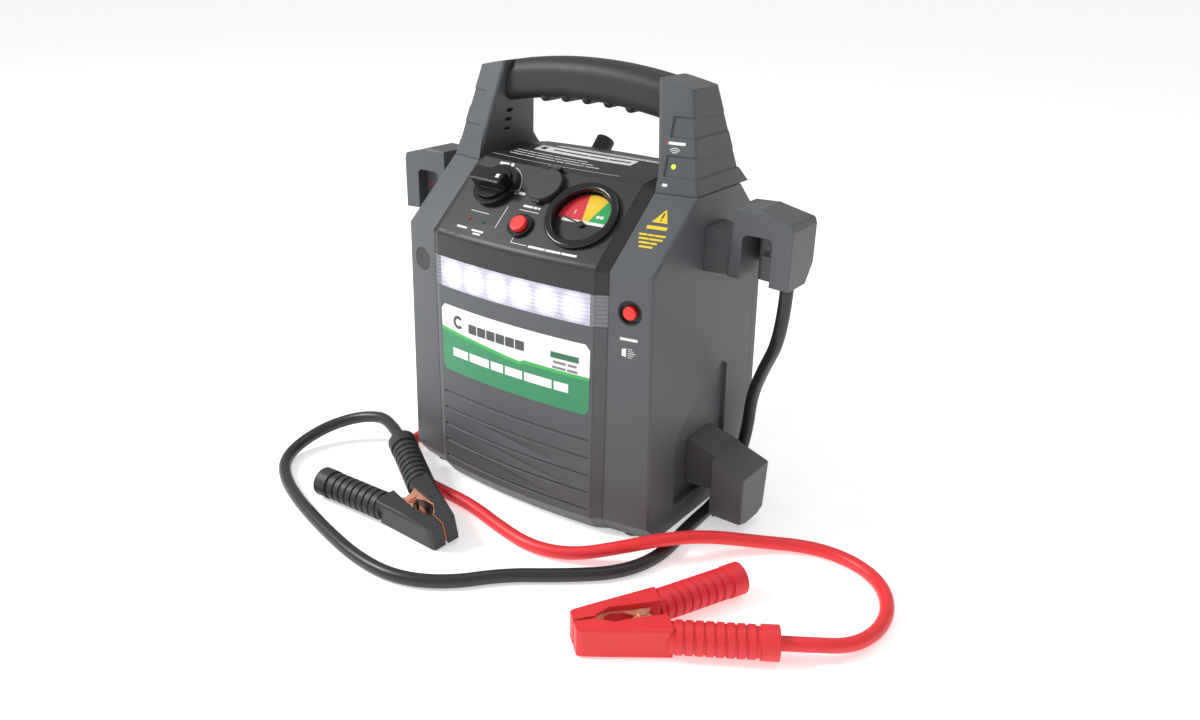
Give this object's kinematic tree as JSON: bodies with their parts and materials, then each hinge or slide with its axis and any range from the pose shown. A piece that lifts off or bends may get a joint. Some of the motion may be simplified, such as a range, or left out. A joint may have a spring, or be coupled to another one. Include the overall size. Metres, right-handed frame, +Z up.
{
  "type": "jump starter pack",
  "caption": "Portable jump starter: bowed plastic case with handle, sloping console with meter, switch and 12 V outlet, lamp, side cable holders, and red and black booster cables with clamps",
  "frame": {"origin": "under the middle of the case, on the surface it stands on, without the cables", "axes": "+X to the right of the console and the longest way over the cable holders, +Y to the back and the shortest way, +Z up"},
  "size_m": [0.616, 0.3916, 0.409],
  "materials": {
    "case_plastic": "fine moulded texture",
    "console_plastic": "fine moulded texture",
    "lens": "clear moulded",
    "reflector": "smooth",
    "circuit_board": "smooth",
    "led": "smooth",
    "grip_rubber": "matte",
    "red_plastic": "smooth",
    "black_plastic": "smooth",
    "core_plastic": "as moulded",
    "steel": "zinc plated",
    "lead_metal": "as cast",
    "copper": "copper plated",
    "red_cable_rubber": "smooth satin",
    "black_cable_rubber": "smooth satin"
  },
  "bodies": {
    "case": {"right_side_shell": "case_plastic", "left_side_shell": "case_plastic", "front_panel": "case_plastic", "light_lens": "lens", "light_reflector": "reflector", "light_led_board": "circuit_board", "light_leds": "led", "console": "console_plastic", "rear_deck": "console_plastic", "rear_cover": "case_plastic", "cover_screws": "steel", "right_tower": "case_plastic", "left_tower": "case_plastic", "handle_core": "core_plastic", "handle_grip": "grip_rubber", "right_cable_holder": "case_plastic", "left_cable_holder": "case_plastic", "right_wrap_hook": "case_plastic", "left_wrap_hook": "case_plastic", "gauge_case": "console_plastic", "gauge_window": "lens", "gauge_dial": "console_plastic", "switch_collar": "console_plastic", "switch_body": "console_plastic", "outlet_socket": "console_plastic", "test_button_collar": "console_plastic", "light_button_collar": "console_plastic", "blank_plug": "console_plastic", "indicator_lamps": "led", "charge_inlet": "console_plastic", "battery": "black_plastic", "battery_terminals": "lead_metal", "battery_bracket": "steel", "control_board": "console_plastic", "alarm_sounder": "console_plastic", "positive_leads": "red_cable_rubber", "negative_lead": "black_cable_rubber", "feet": "grip_rubber", "red_clamp_fixed_grip": "red_plastic", "red_clamp_fixed_jaw": "copper", "red_clamp_pivot": "steel", "red_clamp_spring": "steel", "black_clamp_fixed_grip": "black_plastic", "black_clamp_fixed_jaw": "copper", "black_clamp_pivot": "steel", "black_clamp_spring": "steel", "black_cable": "black_cable_rubber", "red_cable": "red_cable_rubber"},
    "needle": {"gauge_needle": "red_plastic"},
    "switch": {"switch_knob": "console_plastic"},
    "outlet_cap": {"outlet_cap": "grip_rubber"},
    "test_button": {"test_button": "red_plastic"},
    "light_button": {"light_button": "red_plastic"},
    "inlet_cap": {"charge_inlet_cap": "grip_rubber"},
    "red_clamp_half": {"red_clamp_moving_grip": "red_plastic", "red_clamp_moving_jaw": "copper"},
    "black_clamp_half": {"black_clamp_moving_grip": "black_plastic", "black_clamp_moving_jaw": "copper"}
  },
  "joints": [
    {"name": "main_switch", "type": "hinge", "parent": "case", "child": "switch", "pos_m": [-0.051, -0.06824, 0.29617], "axis": [-0.0519, -0.654, 0.7547], "range_deg": [0, 90]},
    {"name": "test_button_press", "type": "slide", "parent": "case", "child": "test_button", "axis": [0.001, 0.6561, -0.7547], "range_m": [0, 0.0025], "stiffness_N_per_m": 400, "springref_m": -0.0012},
    {"name": "light_button_press", "type": "slide", "parent": "case", "child": "light_button", "axis": [-0.1746, 0.9846, 0], "range_m": [0, 0.002], "stiffness_N_per_m": 400, "springref_m": -0.0012},
    {"name": "outlet_cap_hinge", "type": "hinge", "parent": "case", "child": "outlet_cap", "pos_m": [0.00196, -0.0505, 0.31917], "axis": [-1, -0.0031, 0], "range_deg": [0, 110]},
    {"name": "gauge_needle_swing", "type": "hinge", "parent": "case", "child": "needle", "pos_m": [0.05214, -0.07857, 0.28144], "axis": [-0.0522, 0.654, -0.7547], "range_deg": [0, 80], "stiffness_Nm_per_rad": 0.0004},
    {"name": "charge_inlet_cap_slide", "type": "slide", "parent": "case", "child": "inlet_cap", "axis": [0, 0.6854, 0.7282], "range_m": [0, 0.012]},
    {"name": "red_clamp_hinge", "type": "hinge", "parent": "case", "child": "red_clamp_half", "pos_m": [0.211, -0.2045, 0.0142], "axis": [0, 0, -1], "range_deg": [0, 30], "stiffness_Nm_per_rad": 2, "springref_deg": -17.19},
    {"name": "black_clamp_hinge", "type": "hinge", "parent": "case", "child": "black_clamp_half", "pos_m": [-0.052, -0.192, 0.0179], "axis": [0, 0.1908, -0.9816], "range_deg": [0, 30], "stiffness_Nm_per_rad": 2, "springref_deg": -17.19}
  ]
}
